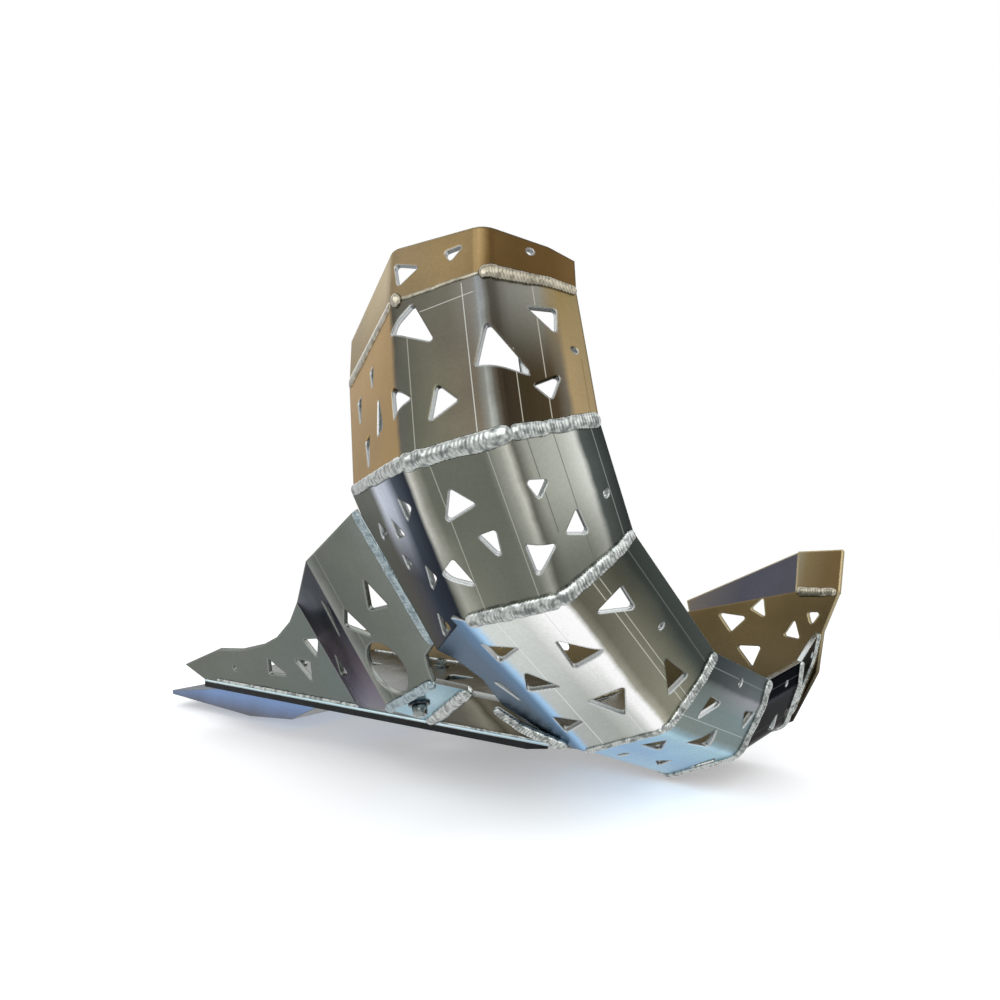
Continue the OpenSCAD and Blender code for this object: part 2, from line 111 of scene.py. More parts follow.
def along(points, step):
    """Points spaced evenly by arc length along a chain of points, and their arc lengths."""
    points = np.asarray(points, float)
    run = np.concatenate([[0], np.cumsum(np.linalg.norm(np.diff(points, axis=0), axis=1))])
    s = np.linspace(0, run[-1], max(8, int(run[-1] / step)))
    return np.stack([np.interp(s, run, column) for column in points.T], 1), s


def outer_line():
    """The section's outer line: straight runs joined by arcs that touch both runs at every fold."""
    out = [SECTION[0]]
    for k in (1, 2, 3):
        a, b, c = SECTION[k - 1:k + 2]
        u, v = unit(a - b), unit(c - b)
        half = math.acos(u @ v) / 2
        centre = b + unit(u + v) * FOLD_R[k] / math.sin(half)
        p, q = (b + w * FOLD_R[k] / math.tan(half) - centre for w in (u, v))
        sweep = math.pi - 2 * half
        t = np.linspace(0, 1, 9)[:, None]
        out.extend(centre + (np.sin(sweep * (1 - t)) * p + np.sin(sweep * t) * q) / math.sin(sweep))
    out.append(SECTION[4])
    return along(out, 0.5)[0]


def section_turn(u):
    """Angle round the pipe line of a place on the section, where 0 to 4 are its five corners."""
    k = min(int(u), 3)
    p = SECTION[k] + (u - k) * (SECTION[k + 1] - SECTION[k])
    return math.atan2(p[1], p[0])


def joint_line(segment, joint, u0, u1):
    """The outer line between two places of the section, carried along the segment's direction
    until it meets the joint's plane."""
    line = outer_line()
    turn = np.arctan2(line[:, 1], line[:, 0])
    line = line[(turn <= section_turn(u0)) & (turn >= section_turn(u1))]
    p = STARTS[segment] + np.outer(line[:, 0], ACROSS[segment])
    p = p + np.outer(line[:, 1], OUTWARD[segment])
    n, d = JOINT_N[joint], DIRS[segment]
    return p + ((JOINT_AT[joint] - p) @ n / (d @ n))[:, None] * d


def mesh_piece(name, co, faces, material, slot, replaces):
    """Puts points and faces, in millimetres, into a mesh that rides on the part in place of
    one of its solids."""
    me = bpy.data.meshes.new(name)
    me.from_pydata(((co + MOVE) * MM).tolist(), [], faces)
    me.polygons.foreach_set("use_smooth", [True] * len(me.polygons))
    me.materials.append(material)
    me.update()
    piece = bpy.data.objects.new(name, me)
    bpy.context.scene.collection.objects.link(piece)
    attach(piece, "root")
    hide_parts(replaces)


def ring_faces(rings, sides):
    """Quads between the rings of a closed tube, and a cap at each end."""
    r, s = np.meshgrid(np.arange(rings - 1), np.arange(sides), indexing="ij")
    a, b = r * sides + s, r * sides + (s + 1) % sides
    faces = np.stack([a, b, b + sides, a + sides], -1).reshape(-1, 4).tolist()
    return faces + [list(range(sides))[::-1], list(range((rings - 1) * sides, rings * sides))]


def joined(parts):
    """Several sets of points and faces as one."""
    bases = np.cumsum([0] + [len(co) for co, _ in parts])
    faces = [[k + base for k in face] for (_, part), base in zip(parts, bases) for face in part]
    return np.concatenate([co for co, _ in parts]), faces


def bead(points, outward, radius, seed, pitch=PITCH, depth=0.32, high=0.8, sides=28):
    """A weld run along a chain of points. The ring at arc length s has, at angle a from its
    crown, the radius r(s) + depth * (hump - 0.5). The hump is sin(pi * frac(p)^0.7) with
    p = s / pitch - 1.5 * (1 - cos a), so that each pass of the torch leaves a crescent with a
    steep front. The radius, the depth, the passes and the line wander a little, and both ends
    close in a quarter circle. The radius is one, or pairs of a share of the run and a radius."""
    centre, s = along(points, pitch / RINGS)
    rng = np.random.default_rng(seed)
    spots = np.arange(0, s[-1] + 10, 5)
    wander = np.interp(s, spots, rng.normal(0, 1, len(spots)))
    if np.ndim(radius) == 0:
        radius = [(0, radius), (1, radius)]
    base = np.interp(s / s[-1], *np.array(radius, float).T)
    # the run's direction, evened out over 13 rings
    window = np.ones(13) / 13
    tangent = np.gradient(centre, axis=0).T
    tangent = np.stack([np.convolve(np.pad(c, 6, "edge"), window, "valid") for c in tangent], 1)
    tangent /= np.linalg.norm(tangent, axis=1)[:, None]
    up = np.broadcast_to(np.asarray(outward, float), centre.shape)
    up = up - (up * tangent).sum(1)[:, None] * tangent
    up /= np.linalg.norm(up, axis=1)[:, None]
    side = np.cross(tangent, up)
    a = np.linspace(0, 2 * math.pi, sides, endpoint=False)
    strong = np.interp(s, spots, rng.uniform(0.5, 1.2, len(spots)))
    p = s[:, None] / pitch + 0.3 * wander[:, None] - 1.5 * (1 - np.cos(a))
    hump = np.sin(math.pi * (p % 1) ** 0.7)
    # no ripples on the side that is sunk in the sheets
    ripple = depth * strong[:, None] * (hump - 0.5) * (np.cos(a) > -0.5)
    r = base[:, None] * (1 + 0.035 * wander[:, None]) + ripple
    end = np.clip(np.minimum(s, s[-1] - s) / base, 0, 1)
    r = r * np.sqrt(1 - (1 - end) ** 2)[:, None].clip(0.03, 1)
    wide = side[:, None] * (r * np.sin(a))[..., None]
    tall = high * up[:, None] * (r * np.cos(a))[..., None]
    line = centre + side * (0.25 * np.roll(wander, 5))[:, None]
    return (line[:, None] + wide + tall).reshape(-1, 3), ring_faces(len(s), sides)


def turned(profile, centre, axis, flats):
    """A turned body: pairs of radius and height swept round an axis, and cut by six flats at
    the distance given, so that the radius at angle a is the lesser of the two."""
    sides = 72
    axis = unit(axis)
    # any direction square to the axis, and the one square to both
    x = unit(np.cross(axis, [0.3, 0.9, 0.1]))
    y = np.cross(axis, x)
    a = np.linspace(0, 2 * math.pi, sides, endpoint=False)
    near = (a + math.pi / 6) % (math.pi / 3) - math.pi / 6
    r, h = np.array(profile, float).T
    r = np.minimum(r[:, None], flats / np.cos(near))
    round_it = np.cos(a)[:, None] * x + np.sin(a)[:, None] * y
    co = centre + h[:, None, None] * axis + r[..., None] * round_it
    return co.reshape(-1, 3), ring_faces(len(h), sides)


# materials
def colour(code):
    """sRGB hex to linear red, green, blue and one."""
    rgb = [int(code[k:k + 2], 16) / 255 for k in (1, 3, 5)]
    return [c / 12.92 if c <= 0.04045 else ((c + 0.055) / 1.055) ** 2.4 for c in rgb] + [1.0]


def add(tree, kind, links=(), **settings):
    """One node with its settings; links are pairs of a socket and what feeds it: a node, a
    node with the name or number of its output, or a plain value."""
    node = tree.nodes.new(kind)
    for key, value in settings.items():
        setattr(node, key, value)
    for socket, source in links:
        if isinstance(source, bpy.types.Node):
            source = (source, 0)
        if isinstance(source, tuple) and isinstance(source[0], bpy.types.Node):
            tree.links.new(source[0].outputs[source[1]], node.inputs[socket])
        else:
            node.inputs[socket].default_value = source
    return node


def fresh(name):
    """An empty material and its tree."""
    mat = bpy.data.materials.new(name)
    mat.use_nodes = True
    mat.node_tree.nodes.clear()
    return mat, mat.node_tree


def object_place(tree):
    """The place of each point on the piece, in metres."""
    return (add(tree, "ShaderNodeTexCoord"), "Object")


def dot(tree, vector, way):
    """How far a vector goes along a fixed direction, or along another vector."""
    way = way if isinstance(way, bpy.types.Node) else tuple(map(float, way))
    node = add(tree, "ShaderNodeVectorMath", [(0, vector), (1, way)], operation="DOT_PRODUCT")
    return (node, "Value")


def math_node(tree, operation, *values):
    """One sum of a tree."""
    return add(tree, "ShaderNodeMath", list(enumerate(values)), operation=operation)


def soft_step(tree, value, start, full):
    """Nothing at start and all at full, with soft ends."""
    ends = [("Value", value), ("From Min", start), ("From Max", full)]
    return add(tree, "ShaderNodeMapRange", ends, interpolation_type="SMOOTHSTEP")


def blend(tree, share, under, over):
    """Two colours mixed; a colour is a link or a hex code."""
    ends = [colour(c) if isinstance(c, str) else c for c in (under, over)]
    mix = add(tree, "ShaderNodeMix", [(0, share), (6, ends[0]), (7, ends[1])], data_type="RGBA")
    return (mix, 2)


def ramp(tree, value, stops):
    """A colour ramp; stops are pairs of a place from 0 to 1 and a hex code."""
    node = add(tree, "ShaderNodeValToRGB", [(0, value)])
    for k, (place, code) in enumerate(stops):
        stop = node.color_ramp.elements[k] if k < 2 else node.color_ramp.elements.new(place)
        stop.position, stop.color = place, colour(code)
    return (node, 0)


def noise(tree, place, scale, detail, roughness=0.5):
    """Cloudy noise, most of it between 0.3 and 0.7."""
    return add(tree, "ShaderNodeTexNoise", [
        ("Vector", place), ("Scale", scale), ("Detail", detail), ("Roughness", roughness)])


def spread(tree, cloud, low, high):
    """Noise spread between two values."""
    return add(tree, "ShaderNodeMapRange", [
        ("Value", cloud), ("From Min", 0.3), ("From Max", 0.7), ("To Min", low), ("To Max", high)])


def relief(tree, height, strength, *more):
    """Fine relief, 0.4 mm deep at full strength."""
    return add(tree, "ShaderNodeBump", [
        ("Height", height), ("Strength", strength), ("Distance", 0.0004), *more])


# sheet metal: bare colours, roughness, what a face seen edge-on keeps of its shine, and the
# reach of a softened edge in metres
BARE, BARE_INSIDE, CUT_METAL = "#9A9D9B", "#979A98", "#C2C6C6"
SHEET_ROUGHNESS = 0.24
PLAIN_RIM = 0.5
SOFT_EDGE = 0.0022
# a scribed line: half its width in metres, how much of its colour shows, and how near the
# surface must be to the face's normal
HALF_LINE = 0.00032
LINE_SHARE = 0.75
ON_FACE = 0.985


def sheet_metal(name, paint_reflections, marks, rim):
    """Rolled aluminium sheet. The paint function gives each bent face its painted reflections,
    highlights and shade, which soften round the folds; on the guard they turn to bare cut metal
    on the walls of the holes. Over it lie 60 mm smears from wiping, a fine rolled grain, and the
    marks: fine scribed lines that each lie where a fixed direction reaches a distance, between
    two distances along another. The rim is how much a face seen edge-on keeps of bare metal's
    shine."""
    mat, tree = fresh(name)
    place = object_place(tree)
    soft = add(tree, "ShaderNodeBevel", [("Radius", SOFT_EDGE)], samples=6)
    smear = noise(tree, place, 16.0, 5.0, 0.6)
    metal_and_painted_reflection = paint_reflections(tree, place, soft, smear)
    speck = noise(tree, place, 520.0, 2.0)
    cloud = math_node(tree, "MULTIPLY_ADD", speck, 0.35, math_node(tree, "MULTIPLY", smear, 0.65))
    value = spread(tree, cloud, 0.88, 1.12)
    shade = (add(tree, "ShaderNodeHueSaturation", [("Value", value), ("Color", metal_and_painted_reflection)]), 0)
    for face, way, reach, along_way, first, last, code in marks:
        near = math_node(tree, "COMPARE", dot(tree, place, way), reach * MM, HALF_LINE)
        middle, half = (first + last) / 2 * MM, (last - first) / 2 * MM
        within = math_node(tree, "COMPARE", dot(tree, place, along_way), middle, half)
        flat = math_node(tree, "GREATER_THAN", dot(tree, soft, face), ON_FACE)
        line = math_node(tree, "MULTIPLY", near, math_node(tree, "MULTIPLY", within, flat))
        shade = blend(tree, math_node(tree, "MULTIPLY", line, LINE_SHARE), shade, code)
    stretch = add(tree, "ShaderNodeMapping", [("Vector", place), ("Scale", (60.0, 420.0, 420.0))])
    bump = relief(tree, noise(tree, stretch, 1.0, 3.0), 0.06, ("Normal", soft))
    rough = spread(tree, smear, SHEET_ROUGHNESS - 0.05, SHEET_ROUGHNESS + 0.07)
    shader = add(tree, "ShaderNodeBsdfPrincipled", [
        ("Base Color", shade), ("Metallic", 1.0), ("Roughness", rough), ("Normal", bump),
        ("Specular Tint", (rim, rim, rim, 1))])
    add(tree, "ShaderNodeOutputMaterial", [(0, shader)])
    return mat


def guard_reflections(i, upper, lower):
    """Painted reflections, highlights and shade of a guard segment. They follow the angle round the
    pipe line, so that each band lies along a face or a fold, and turn from the upper list to the
    lower one down the segment. Lists are pairs of a place on the section, 0 to 4, and a colour."""
    first, last = section_turn(0), section_turn(4)

    def stops(bands):
        return [((first - section_turn(u)) / (first - last), code) for u, code in bands]

    def paint_reflections(tree, place, soft, smear):
        start = tuple(((STARTS[i] + MOVE) * MM).tolist())
        rel = add(tree, "ShaderNodeVectorMath", [(0, place), (1, start)], operation="SUBTRACT")
        turn = math_node(tree, "ARCTAN2", dot(tree, rel, OUTWARD[i]), dot(tree, rel, ACROSS[i]))
        # the smears shift each band by up to 0.1 rad, 0.05 of it in the middle
        sway = math_node(tree, "MULTIPLY_ADD", smear, 0.10, turn)
        share = add(tree, "ShaderNodeMapRange", [
            ("Value", sway), ("From Min", first + 0.05), ("From Max", last + 0.05)])
        down = soft_step(tree, dot(tree, rel, DIRS[i]), 0.0, LENGTHS[i] * MM)
        # the painted reflections turn from the upper bands to the lower ones down the segment
        metal_and_painted_reflection = blend(tree, down, ramp(tree, share, stops(upper)), ramp(tree, share, stops(lower)))
        # the outer face lies 70 to 74 mm from the pipe line, the inner one 66 to 70
        depth = dot(tree, soft, rel)
        metal_and_painted_reflection = blend(tree, soft_step(tree, depth, 0.054, 0.066), CUT_METAL, metal_and_painted_reflection)
        return blend(tree, soft_step(tree, depth, -0.050, -0.062), metal_and_painted_reflection, BARE_INSIDE)

    return paint_reflections


# how near a surface must be to a face's normal, as their dot product, for a trace of the
# face's colours and for all of them
LOOSE, FIRM, CLOSE = (0.955, 0.985), (0.97, 0.99), (0.994, 0.998)


def faced_reflections(faces, ground=(BARE, BARE)):
    """Painted reflections and shade of a flat or bent sheet. Each face has its normal, a direction,
    the two distances along it that the colours spread between, how near the surface must be to
    the normal, and the colours. The rest has the ground's two colours, the first level with the
    base plate's upper side and the second 90 mm above it."""

    def paint_reflections(tree, place, soft, smear):
        metal_and_painted_reflection = blend(tree, soft_step(tree, dot(tree, place, Z), 0.0, 0.09), *ground)
        for normal, way, first, last, (trace, full), bands in faces:
            shift = float(np.dot(way, MOVE))
            far = add(tree, "ShaderNodeMapRange", [
                ("Value", dot(tree, place, way)),
                ("From Min", (first + shift) * MM), ("From Max", (last + shift) * MM)])
            sway = math_node(tree, "MULTIPLY", math_node(tree, "SUBTRACT", smear, 0.5), 0.25)
            colours = ramp(tree, math_node(tree, "ADD", far, sway), bands)
            here = soft_step(tree, dot(tree, soft, normal), trace, full)
            metal_and_painted_reflection = blend(tree, here, metal_and_painted_reflection, colours)
        return metal_and_painted_reflection

    return paint_reflections


def scribed(i, face, reach, first, last, code="#C9CBC5"):
    """A scribed line on a guard segment, between two distances down it, at a reach across one
    of its faces; 0 is the flank and 3 the rim strip."""
    a, b = SECTION[face], SECTION[face + 1]
    w = unit(b - a)
    way = w[0] * ACROSS[i] + w[1] * OUTWARD[i]
    normal = -w[1] * ACROSS[i] + w[0] * OUTWARD[i]
    corner = STARTS[i] + a[0] * ACROSS[i] + a[1] * OUTWARD[i] + MOVE
    down = DIRS[i] @ corner
    return normal, way, way @ corner + reach, DIRS[i], down + first, down + last, code


def cross_mark(i, face, far, first, last):
    """A scribed line across a face, at a distance down the segment."""
    normal, way, start, down, low, _, code = scribed(i, face, 0, 0, 0)
    return normal, down, low + far, way, start + first, start + last, code


def weld_metal(name, dark, light, shaded_toe):
    """Hand-laid weld: a fine frost that mixes a dark and a light tone at random, and
    painted shade in the hollows and toes, where the surface curves inward.
    """
    mat, tree = fresh(name)
    frost = noise(tree, object_place(tree), 260.0, 4.0)
    tone = blend(tree, soft_step(tree, frost, 0.32, 0.62), dark, light)
    geometry = add(tree, "ShaderNodeNewGeometry")
    painted_hollow_shade = soft_step(tree, (geometry, "Pointiness"), 0.47, 0.53)
    shader = add(tree, "ShaderNodeBsdfPrincipled", [
        ("Base Color", blend(tree, painted_hollow_shade, shaded_toe, tone)), ("Metallic", 1.0), ("Roughness", 0.23),
        ("Normal", relief(tree, frost, 0.1))])
    add(tree, "ShaderNodeOutputMaterial", [(0, shader)])
    return mat


def polyethylene():
    """Black HDPE sheet: satin and a little scuffed, with saw lines about 1 mm apart."""
    mat, tree = fresh("black_hdpe")
    place = object_place(tree)
    scuff = soft_step(tree, noise(tree, place, 90.0, 6.0), 0.35, 0.75)
    saw = add(tree, "ShaderNodeTexWave", [
        ("Vector", place), ("Scale", 300.0), ("Distortion", 2.0)])
    shader = add(tree, "ShaderNodeBsdfPrincipled", [
        ("Base Color", blend(tree, scuff, "#050608", "#15191C")), ("Roughness", 0.42),
        ("Specular IOR Level", 0.2), ("Normal", relief(tree, (saw, 1), 0.15))])
    add(tree, "ShaderNodeOutputMaterial", [(0, shader)])
    return mat


def plated(name, light, dark, roughness):
    """Plated steel with a faint cloudy film."""
    mat, tree = fresh(name)
    film = soft_step(tree, noise(tree, object_place(tree), 220.0, 3.0), 0.3, 0.7)
    shader = add(tree, "ShaderNodeBsdfPrincipled", [
        ("Base Color", blend(tree, film, dark, light)), ("Metallic", 1.0),
        ("Roughness", roughness)])
    add(tree, "ShaderNodeOutputMaterial", [(0, shader)])
    return mat


# weld colours: the warm and the pale welds are tinted with painted reflections of the sheets round
# them
silver_weld = weld_metal("silver_weld", "#767B79", "#C4C9C6", "#4C5150")
weld_warm_reflection = weld_metal("weld_warm_reflection", "#7F7A6C", "#ADA797", "#6B6656")
weld_pale_reflection = weld_metal("weld_pale_reflection", "#7A8A8F", "#A9B7BB", "#66757B")
plastic = polyethylene()
zinc = plated("zinc_plated_steel", "#A2AAA8", "#5A6260", 0.24)
washer_steel = plated("dark_spring_steel", "#4A5056", "#1D2126", 0.3)

# painted reflections, highlights and shade of the guard, segment by segment from the lip to the
# left end: each band's colour stands for what that face or fold mirrors, white where a fold catches
# the light, near black on the far segments in shade
PAINTED_REFLECTION_BANDS = {
    0: ([(0, "#B9A67F"), (0.85, "#C6B48E"), (1.02, "#938062"), (1.5, "#8C7956"), (1.93, "#836F4D"),
         (2.06, "#544226"), (2.5, "#4D3C22"), (3.1, "#503D22"), (4, "#5D492D")],
        [(0, "#B39F77"), (0.85, "#BCA880"), (1.02, "#8E7D5F"), (1.5, "#877454"), (1.93, "#7A6747"),
         (2.06, "#4D3B21"), (2.5, "#48361E"), (3.1, "#4D3B21"), (4, "#5B462A")]),
    1: ([(0, "#D1B182"), (0.93, "#CCAA76"), (1, "#57564D"), (1.1, "#66645A"), (1.6, "#6A675C"),
         (1.84, "#7C7A74"), (1.9, "#808486"), (1.97, "#555551"), (2.03, "#444139"),
         (2.3, "#6E6E67"), (2.75, "#797971"), (2.92, "#7B6E54"), (3.2, "#786845"), (4, "#7B6E4F")],
        [(0, "#BA9D6F"), (0.93, "#B89967"), (0.99, "#66655E"), (1.1, "#5B5D52"), (1.4, "#6D6A5A"),
         (1.8, "#6C6457"), (1.9, "#81847F"), (1.97, "#45433D"), (2.03, "#302920"),
         (2.4, "#312A1C"), (2.8, "#3C3223"), (2.97, "#575248"), (3.15, "#8A7858"),
         (4, "#847457")]),
    2: ([(0, "#6C7068"), (0.3, "#70746C"), (0.4, "#DEE5F2"), (0.58, "#CAD1E0"), (0.72, "#4C5460"),
         (0.94, "#242C38"), (0.995, "#C8C8C0"), (1.07, "#8E8E84"), (1.15, "#676A5F"),
         (1.75, "#666960"), (1.9, "#989A90"), (1.97, "#C4C4B9"), (2.05, "#5E5E55"),
         (2.2, "#989A90"), (2.7, "#B0B3A9"), (2.93, "#D0D2CB"), (3.05, "#4E5451"), (4, "#303634")],
        [(0, "#686B63"), (0.3, "#605E58"), (0.5, "#4D4E56"), (0.7, "#2A3443"), (0.94, "#1A2230"),
         (0.995, "#77786F"), (1.07, "#A2A399"), (1.25, "#74766B"), (1.6, "#64675D"),
         (1.84, "#6F7269"), (1.94, "#9A9C92"), (2.03, "#565850"), (2.25, "#6C6F66"),
         (2.7, "#74776E"), (2.93, "#969891"), (3.06, "#4B504D"), (4, "#2E3231")]),
    3: ([(0, "#667687"), (0.8, "#6D8298"), (0.94, "#7193B7"), (1.03, "#AFD5F6"), (1.1, "#D4DAD7"),
         (1.5, "#D0D4CF"), (1.75, "#FFFFFF"), (1.88, "#FFFFFF"), (1.98, "#FFFFFF"),
         (2.06, "#7D7C6F"), (2.2, "#5D5C4F"), (2.5, "#676659"), (2.85, "#4F4E43"),
         (3.05, "#474A42"), (3.3, "#363B36"), (4, "#3F4541")],
        [(0, "#5E6770"), (0.8, "#667787"), (0.94, "#6B8EB0"), (1.03, "#A0C8EC"), (1.09, "#AFB4B2"),
         (1.5, "#A8ACA7"), (1.8, "#CCD0CB"), (1.91, "#FFFFFF"), (1.99, "#FFFFFF"),
         (2.06, "#B1AFA0"), (2.2, "#878675"), (2.5, "#8B8B7B"), (2.85, "#707063"),
         (3.05, "#50564F"), (3.3, "#414743"), (4, "#494F4C")]),
    4: ([(0, "#86A0BE"), (0.9, "#93B2D4"), (1, "#B9DFFF"), (1.4, "#ABD4FA"), (1.75, "#B5E1FF"),
         (1.93, "#C6EEFF"), (2.02, "#9DB9C6"), (2.14, "#87938F"), (2.55, "#7C8885"),
         (2.9, "#6C7673"), (3.08, "#414746"), (4, "#40474A")],
        [(0, "#8CA9C8"), (0.9, "#98B8DA"), (1, "#C2E5FF"), (1.4, "#AFDAFE"), (1.75, "#BBE7FF"),
         (1.93, "#C4EAFF"), (2.02, "#98AEB6"), (2.14, "#849290"), (2.6, "#85969A"),
         (2.87, "#9EA4A8"), (2.97, "#A6A8AF"), (3.1, "#737A7D"), (4, "#606768")]),
    5: ([(0, "#33292B"), (1, "#322425"), (1.9, "#302325"), (2.3, "#1A1518"), (2.65, "#131519"),
         (2.9, "#21252B"), (3, "#41454F"), (3.1, "#1D2025"), (4, "#16191D")],
        [(0, "#33292B"), (1, "#352424"), (1.9, "#322224"), (2.3, "#161215"), (2.65, "#101216"),
         (2.9, "#1A1D24"), (3, "#343842"), (3.1, "#181B1F"), (4, "#15171B")]),
    6: ([(0, "#33292B"), (1, "#3A2A2A"), (2, "#2C2224"), (2.6, "#1D1D21"), (2.95, "#3A3D44"),
         (3.1, "#1D2024"), (4, "#191B1F")],
        [(0, "#3B2F2A"), (1, "#3F3028"), (2, "#251B15"), (2.6, "#1B1715"), (2.95, "#373229"),
         (3.1, "#403C36"), (4, "#564B3A")]),
}
# scribed bend marks, which the real sheet has; each line's colour is lighter or darker with the
# painted light and shade of its face
MARKS = {
    1: [cross_mark(1, 1, 16, 18, 54), scribed(1, 1, 8.5, 26, 130, "#A9A79C"),
        scribed(1, 1, 47, 6, 130), scribed(1, 2, 12, 60, 130, "#A39F93"),
        scribed(1, 2, 30, 8, 130, "#A39F93"), scribed(1, 3, 14, 58, 130, "#6E5B38")],
    2: [scribed(2, 1, 15, -40, 90, "#A9AAA0"), scribed(2, 1, 50, -40, 90, "#A9AAA0"),
        scribed(2, 2, 12, -40, 30, "#5C5E56"), scribed(2, 2, 28.5, -40, 90, "#6A6C64"),
        scribed(2, 3, 11.5, -40, 90, "#8E938F")],
    3: [scribed(3, 1, 16.5, -20, 160, "#E9EBE8"), scribed(3, 1, 47.5, -20, 160, "#DDE0DD"),
        scribed(3, 2, 21, -20, 160, "#C9C8BB"), scribed(3, 2, 26, -10, 160, "#C2C1B4"),
        scribed(3, 3, 9, -20, 160, "#6F7470")],
    4: [scribed(4, 1, 17, -20, 110, "#CBE2F2"), scribed(4, 2, 14, -10, 110, "#B9C4C2"),
        scribed(4, 3, 10, -10, 110, "#8C9492")],
    5: [scribed(5, 2, 14, 0, 70, "#5A5F68"), scribed(5, 3, 9, 0, 70, "#5C6168")],
    6: [scribed(6, 3, 9, 0, 50, "#5C6168")],
}
GUARD_NAMES = ["guard_lip"] + [f"guard_segment_{i}" for i in range(1, 7)]

# corners of the right wing, the ledge and the gusset, as in the part's source; the wing
# starts at the base's right edge
SIDE_Y, EDGE_Z = -100.0, 10.0
PEAK, TOE, FOOT = np.array([(-58, -229, 181), (-19, -194, 91), (-92, -161, 32)], float)


def normal_of(a, b, c):
    """Normal of the sheet through three corners."""
    return unit(np.cross(b - a, c - a))


FRONT_N = normal_of(FOOT, TOE, PEAK)


def on_front(x, y, z):
    """A place, with y from the base's right edge, moved square onto the wing's front part."""
    q = np.array([x, y + SIDE_Y, z], float)
    return q - ((q - FOOT) @ FRONT_N) * FRONT_N


def on_ledge(q):
    """A place moved square onto the ledge."""
    return q - ((q - ROOT) @ LEDGE_N) * LEDGE_N


STEP_TOP, FOOT_END = on_front(-132, -105, 142), on_front(-31, -80, 62)
STEP_FOOT, ROOT = np.array([-185, SIDE_Y, EDGE_Z]), np.array([-105, SIDE_Y, EDGE_Z])
LEDGE_N = normal_of(ROOT, FOOT_END, FOOT)
# the ledge's front corner, 56 mm up the gusset's slope
SLOPE = np.array([0, -0.7, 0.7141428])
TIP = on_ledge(np.array([-33, SIDE_Y, EDGE_Z]) + 56 * SLOPE)
REAR_N = unit([0, -math.cos(math.radians(19)), -math.sin(math.radians(19))])
STEP_N = normal_of(STEP_FOOT, FOOT, STEP_TOP)
# the fold at the step's front, the way from it across the front part, along which the painted fold
# highlight fades, and a mark beside it
FRONT_FOLD = unit(STEP_TOP - FOOT)
FRONT_WAY = unit(np.cross(FRONT_FOLD, FRONT_N))
FRONT_WAY = FRONT_WAY * np.sign(FRONT_WAY @ (TOE - FOOT))
FOLD_AT = FRONT_WAY @ FOOT
FOLD_LOW = FRONT_FOLD @ (FOOT + MOVE)
FRONT_MARK = (FRONT_N, FRONT_WAY, FOLD_AT + FRONT_WAY @ MOVE + 15,
              FRONT_FOLD, FOLD_LOW - 20, FOLD_LOW + 145, "#9A9E97")
FLANGE_N = unit([-0.11, -0.84, 0.53])

# painted reflections, highlights and shade of the other sheets: each face's colours stand for what
# it mirrors, such as the ledge's and the base plate's edge's pale blue, the gusset's streaks and
# the linkage guard's blue
FACED_REFLECTIONS = {
    "right_wing": faced_reflections([
        (REAR_N, X, -390, -185, CLOSE,
         [(0, "#767B74"), (0.5, "#727871"), (1, "#6D7573")]),
        # a painted highlight along the fold at the wing's front, fading across the face
        (FRONT_N, FRONT_WAY, FOLD_AT, FOLD_AT + 100, CLOSE,
         [(0, "#90938D"), (0.05, "#7E827C"), (0.11, "#6C706A"), (0.6, "#71766F"), (1, "#808680")]),
        # the step's painted reflection, lavender low down turning to dark navy at the top
        (STEP_N, Z, 15, 140, FIRM,
         [(0, "#B4B4C2"), (0.2, "#A298AC"), (0.4, "#8E7E8C"), (0.65, "#5E6878"), (0.85, "#2E3B4A"),
          (1, "#28343F")]),
    ], ground=("#898D88", "#898D88")),
    "ledge": faced_reflections([
        (LEDGE_N, X, -185, -30, LOOSE,
         [(0, "#B0DDF0"), (0.4, "#CDEFFC"), (0.6, "#BEE6F8"), (0.8, "#D2F2FF"), (1, "#A5C6D5")]),
    ]),
    "front_gusset": faced_reflections([
        (unit([0, -0.714, -0.7]), X, -105, 43, LOOSE,
         [(0, "#5B5952"), (0.3, "#6A675D"), (0.42, "#8A8678"), (0.5, "#514D40"), (0.56, "#6A6658"),
          (0.7, "#454236"), (1, "#5E6367")]),
    ]),
    # the left plate's faces carry a painted brown reflection; its edges carry painted shade, near
    # black level with the base plate and beige 90 mm above it
    "left_plate": faced_reflections([
        (LEFT_N, Z, -20, 110, LOOSE,
         [(0, "#766A56"), (0.4, "#7D6E52"), (0.8, "#826F4E"), (1, "#8C7854")]),
        (FLANGE_N, X, -20, 105, LOOSE,
         [(0, "#8A7050"), (0.25, "#64605C"), (0.6, "#4C4D57"), (1, "#515159")]),
        (-LEFT_N, Z, -20, 110, LOOSE,
         [(0, "#8F9290"), (1, "#A4A7A5")]),
        (-FLANGE_N, Z, 80, 140, LOOSE,
         [(0, "#8F9290"), (1, "#A4A7A5")]),
    ], ground=("#2C2822", "#B5A986")),
    "left_corner": faced_reflections([
        (FLANGE_N, X, 98, 141, LOOSE,
         [(0, "#8A8571"), (0.2, "#7C6D4F"), (0.6, "#6D5B3E"), (1, "#685538")]),
    ], ground=("#B5A580", "#B5A580")),
    "linkage_guard": faced_reflections([
        (-Y, Z, -30, 3, LOOSE,
         [(0, "#6A696E"), (0.25, "#72809C"), (0.5, "#7C94BC"), (1, "#8098C2")]),
        (unit([0.1, 0, -1]), X, -500, -225, LOOSE,
         [(0, "#5C6470"), (0.5, "#5C7294"), (1, "#6C86A8")]),
    ], ground=("#7C828A", "#7C828A")),
    "base_plate": faced_reflections([
        (-Y, X, -390, 10, LOOSE,
         [(0, "#E2F8FC"), (0.4, "#C6E8F0"), (0.7, "#D8F0F8"), (1, "#B0D0E0")]),
    ]),
}
